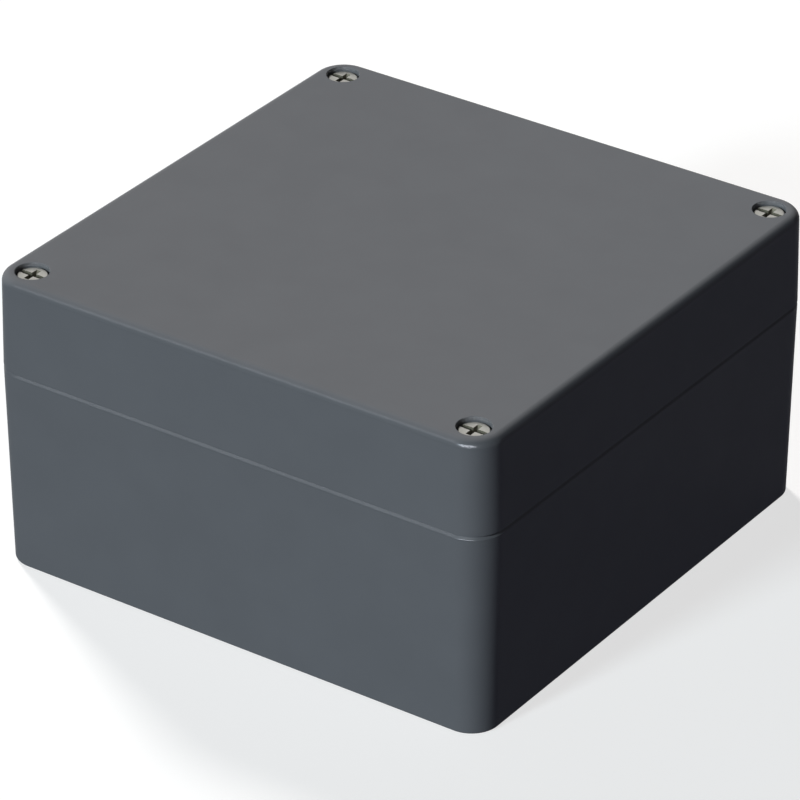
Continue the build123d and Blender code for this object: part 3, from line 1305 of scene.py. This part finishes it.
def joined(name: str, *meshes: bpy.types.Mesh) -> bpy.types.Mesh:
    """One mesh from several, with their shells side by side."""
    work = bmesh.new()
    for mesh in meshes:
        work.from_mesh(mesh)
    whole = bpy.data.meshes.new(name)
    work.to_mesh(whole)
    work.free()
    return whole


@dataclass
class RetainingRing:
    """Nylon ring on a lid screw's reduced shank, with small notches round its hole."""

    inner: float = 2.3
    outer: float = 4.3
    low: float = 61.6
    high: float = 62.4
    edge: float = 0.16
    notches: int = 6
    notch_depth: float = 0.45
    points: int = 96

    def mesh(self, name: str, middle: Place) -> bpy.types.Mesh:
        """Closed mesh of the ring.

        At the hole its section's radius grows by the notch depth times the clipped cosine of the
        notches' angle.
        """
        rows = ring_section(self.inner, self.outer, self.low, self.high, self.edge)
        angle = np.linspace(0, FULL_TURN, self.points, endpoint=False)[None]
        notch = self.notch_depth * np.clip(3 * np.cos(self.notches * angle) - 2, 0, 1)
        near = (rows[:, :1] < (self.inner + self.outer) / 2).astype(float)
        loops = around(middle, rows[:, :1] + near * notch, angle, rows[:, 1:])
        return Patchwork(name).grid(loops, ring=True).mesh()

    def build(self, corner: Corner, middle: Place, nylon: bpy.types.Material) -> bpy.types.Object:
        """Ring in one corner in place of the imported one."""
        mesh = self.mesh("captive_ring_" + corner.label, middle)
        smooth(mesh, angle=40)
        return place(mesh, (nylon,), Body.LID, Slot.NYLON, "retaining_ring_" + corner.label)


@dataclass
class EarthTerminal:
    """Clamp and spring washer of the earth terminal, under its screw."""

    middle: Place = (62.0, 0.0)
    boss_top: float = 12.5
    clamp_side: float = 12.0
    clamp_h: float = 1.5
    clamp_r: float = 1.2
    clamp_edge: float = 0.22
    clamp_hole_r: float = 2.75
    clamp_hole_edge: float = 0.15
    spring_outer: float = 4.6
    spring_inner: float = 2.7
    spring_h: float = 1.2
    spring_edge: float = 0.12
    spring_steps: int = 72
    slit: float = 0.8
    slit_lean: float = 30.0

    def clamp(self, brass: bpy.types.Material) -> bpy.types.Object:
        """Square stamped clamp with rounded edges."""
        low, high, e = self.boss_top, self.boss_top + self.clamp_h, self.clamp_edge
        outline = Outline.rectangle(self.clamp_side, self.clamp_side, self.clamp_r, 8, self.middle)
        sides = outline.carry(profile(arc(-e, low + e, e, -90, 0, 4), arc(-e, high - e, e, 0, 90, 4)))
        hole, edge = self.clamp_hole_r, self.clamp_hole_edge
        rows = profile((hole + edge, high), (hole, high - edge), (hole, low + edge), (hole + edge, low))
        bore = turn(rows, self.middle)
        piece = Patchwork("terminal_clamp").grid(sides).grid(bore)
        piece.flat(sides[0], (bore[-1],)).flat(sides[-1], (bore[0],))
        mesh = piece.mesh()
        smooth(mesh)
        return place(mesh, (brass,), Body.BASE, Slot.BRASS, "earth_clamp")

    def spring(self, steel: bpy.types.Material) -> bpy.types.Object:
        """Split spring washer.

        A section with broken corners is carried round the axis from one face of the slit to the
        other. The angle of each point starts half a slit on, and leans with its height.
        """
        low = self.boss_top + self.clamp_h
        high = low + self.spring_h
        rows = ring_section(self.spring_inner, self.spring_outer, low, high, self.spring_edge)
        mid_r, slant = (self.spring_outer + self.spring_inner) / 2, np.radians(self.slit_lean)
        shift = (rows[:, 1] - (low + high) / 2) * np.tan(slant) / mid_r
        half = self.slit / 2 / mid_r / np.cos(slant)
        share = np.linspace(0, 1, self.spring_steps + 1)[:, None]
        angle = (shift + half) * (1 - share) + (shift + FULL_TURN - half) * share
        loops = around(self.middle, rows[:, 0], angle, rows[:, 1])
        piece = Patchwork("spring_washer").grid(loops)
        for end in (loops[0], loops[-1]):
            piece.keep(end, np.arange(len(rows))[None], 0)
        mesh = piece.mesh()
        smooth(mesh)
        return place(mesh, (steel,), Body.BASE, Slot.STEEL, "earth_spring_washer")


@dataclass
class Studio:
    """Floor, lamps, surroundings and camera.

    The floor and the surroundings are white to the camera, to gloss and through glass. To diffuse
    light they are dull, so that the side away from the main lamp stays dark.
    """

    floor_side: float = 6.0
    floor_level: float = -0.0003
    floor_white: float = 0.36
    floor_glow: float = 0.70
    floor_dull: tuple[float, float, float] = (0.050, 0.053, 0.086)
    ambient: tuple[float, float, float] = (0.008, 0.008, 0.012)
    lamp_angle: float = 10.0
    lamp_distance: float = 2.0
    strip_colour: Colour = (0.95, 0.97, 1.0)
    camera_azimuth: float = 34.989
    camera_elevation: float = 30.097
    camera_distance: float = 1.456982
    camera_target: tuple[float, float, float] = (0.002754, -0.006168, 0.042565)
    camera_focal_px: float = 5358.246
    image_px: float = 800.0
    sensor: float = 36.0
    camera_clip: Pair = (0.05, 20.0)

    @staticmethod
    def _towards(azimuth: float, elevation: float) -> Vector:
        """Unit vector from the box to a place at that azimuth and elevation in degrees."""
        a, e = np.radians([azimuth, elevation])
        return Vector((np.sin(a) * np.cos(e), -np.cos(a) * np.cos(e), np.sin(e)))

    def _aimed(self, data: bpy.types.ID, name: str, away: Vector, place_at: Vector) -> bpy.types.Object:
        """Object of a lamp or camera that looks back along a direction."""
        item = linked(name, data)
        item.rotation_mode = "QUATERNION"
        item.rotation_quaternion = (-away).to_track_quat("-Z", "Y")
        item.location = place_at
        return item

    def camera(self) -> None:
        """Camera at the photograph's angle."""
        data = bpy.data.cameras.new("camera")
        data.sensor_fit = "HORIZONTAL"
        data.sensor_width = self.sensor
        data.lens = self.sensor * self.camera_focal_px / self.image_px
        data.clip_start, data.clip_end = self.camera_clip
        away = self._towards(self.camera_azimuth, self.camera_elevation)
        target = Vector(self.camera_target)
        item = self._aimed(data, "camera", away, target + self.camera_distance * away)
        bpy.context.scene.camera = item

    def light(self) -> None:
        """Soft lamp from the left, a cooler one from the front, and two strips that only gloss shows.

        The left lamp doesn't show in gloss.
        """
        for name, azimuth, elevation, strength, colour, gloss in (
            ("left_lamp", -119.0, 38.5, 3.29, (1.0, 0.967, 0.930), False),
            ("front_lamp", -10.0, 24.0, 2.28, (0.823, 0.945, 1.0), True),
        ):
            sun = bpy.data.lights.new(name, "SUN")
            sun.energy, sun.color, sun.angle = strength, colour, np.radians(self.lamp_angle)
            away = self._towards(azimuth, elevation)
            self._aimed(sun, name, away, away * self.lamp_distance).visible_glossy = gloss
        for name, azimuth, elevation, wide, tall, power in (
            ("gloss_strip", 17.0, 24.0, 1.50, 0.70, 165.0),
            ("gloss_strip_left", -38.0, 35.0, 0.80, 0.60, 10.0),
        ):
            strip = bpy.data.lights.new(name, "AREA")
            strip.shape, strip.size, strip.size_y = "RECTANGLE", wide, tall
            strip.energy, strip.color = power, self.strip_colour
            away = self._towards(azimuth, elevation)
            self._aimed(strip, name, away, away * self.lamp_distance).visible_diffuse = False

    def _seen(self, tree: bpy.types.NodeTree) -> Socket:
        """Socket that is 1 for camera, glossy and transmission rays."""
        path = tree.nodes.new("ShaderNodeLightPath")
        total = path.outputs["Is Camera Ray"]
        for name in ("Is Glossy Ray", "Is Transmission Ray"):
            both = tree.nodes.new("ShaderNodeMath")
            both.operation = "MAXIMUM"
            tree.links.new(total, both.inputs[0])
            tree.links.new(path.outputs[name], both.inputs[1])
            total = both.outputs[0]
        return total

    def surroundings(self) -> None:
        """White backdrop that lights the box only dimly."""
        world = bpy.data.worlds.new("backdrop")
        bpy.context.scene.world = world
        world.use_nodes = True
        tree = world.node_tree
        tree.nodes.clear()
        mix, out = tree.nodes.new("ShaderNodeMixShader"), tree.nodes.new("ShaderNodeOutputWorld")
        for place_in, colour in ((1, self.ambient), (2, (1.0, 1.0, 1.0))):
            glow = tree.nodes.new("ShaderNodeBackground")
            glow.inputs["Color"].default_value = (*colour, 1)
            tree.links.new(glow.outputs[0], mix.inputs[place_in])
        tree.links.new(self._seen(tree), mix.inputs[0])
        tree.links.new(mix.outputs[0], out.inputs["Surface"])

    def floor(self) -> bpy.types.Object:
        """Plain pale floor that keeps the box's shadow."""
        half = self.floor_side / 2
        corners = [(-half, -half, self.floor_level), (half, -half, self.floor_level)]
        corners += [(half, half, self.floor_level), (-half, half, self.floor_level)]
        mesh = bpy.data.meshes.new("floor")
        mesh.from_pydata(corners, [], [(0, 1, 2, 3)])
        material = bpy.data.materials.new("floor_white")
        material.use_nodes = True
        tree = material.node_tree
        tree.nodes.clear()
        pale, dull = tree.nodes.new("ShaderNodeBsdfDiffuse"), tree.nodes.new("ShaderNodeEmission")
        pale.inputs["Color"].default_value = (self.floor_white,) * 3 + (1,)
        dull.inputs["Color"].default_value = (*self.floor_dull, 1)
        glow, lit = tree.nodes.new("ShaderNodeEmission"), tree.nodes.new("ShaderNodeAddShader")
        glow.inputs["Strength"].default_value = self.floor_glow
        mix, out = tree.nodes.new("ShaderNodeMixShader"), tree.nodes.new("ShaderNodeOutputMaterial")
        tree.links.new(pale.outputs[0], lit.inputs[0])
        tree.links.new(glow.outputs[0], lit.inputs[1])
        tree.links.new(dull.outputs[0], mix.inputs[1])
        tree.links.new(lit.outputs[0], mix.inputs[2])
        tree.links.new(self._seen(tree), mix.inputs[0])
        tree.links.new(mix.outputs[0], out.inputs["Surface"])
        mesh.materials.append(material)
        item = linked("floor", mesh)
        return item

    def build(self) -> None:
        """Everything round the box."""
        bpy.context.scene.view_settings.view_transform = "Standard"
        self.camera()
        self.light()
        self.surroundings()
        self.floor()


def main() -> None:
    """Builds the stage and every piece."""
    logging.basicConfig(level=logging.INFO, format="%(name)s: %(message)s")
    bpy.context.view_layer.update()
    Studio().build()
    plan = BoxPlan()
    paint, bare = PaintFinish().build(), BareCastFinish().build()
    BaseCasting(plan).build(paint, bare)
    LidCasting(plan).build(paint)
    Gasket(plan).build(RubberFinish().build())
    steel = SteelFinish("lid_screw_steel", plan.screw).build()
    # darker recess steel: painted shade inside the driver recesses
    recess = RecessShadeFinish().build()
    nylon = NylonFinish().build()
    lid_screw = CheeseHeadScrew(seat=84.1, end=50.1, thread_top=60.2, neck_r=2.0)
    pattern = lid_screw.pattern()
    for corner in Corner:
        middle = corner.at(*plan.screw)
        name = "captive_screw_" + corner.label
        node = "lid_screw_" + corner.label
        lid_screw.build(name, middle, pattern, (steel, recess), corner.screw_body, node)
        RetainingRing().build(corner, middle, nylon)
    terminal = EarthTerminal()
    terminal_steel = SteelFinish("terminal_steel", terminal.middle).build()
    terminal.clamp(BrassFinish().build())
    terminal.spring(terminal_steel)
    earth_screw = CheeseHeadScrew(seat=15.2, end=5.2, thread_top=14.9, neck_r=2.06)
    finishes = (terminal_steel, recess)
    earth_screw.build(
        "terminal_screw", terminal.middle, earth_screw.pattern(), finishes, Body.EARTH_SCREW, "earth_screw"
    )


if __name__ == "__main__":
    main()
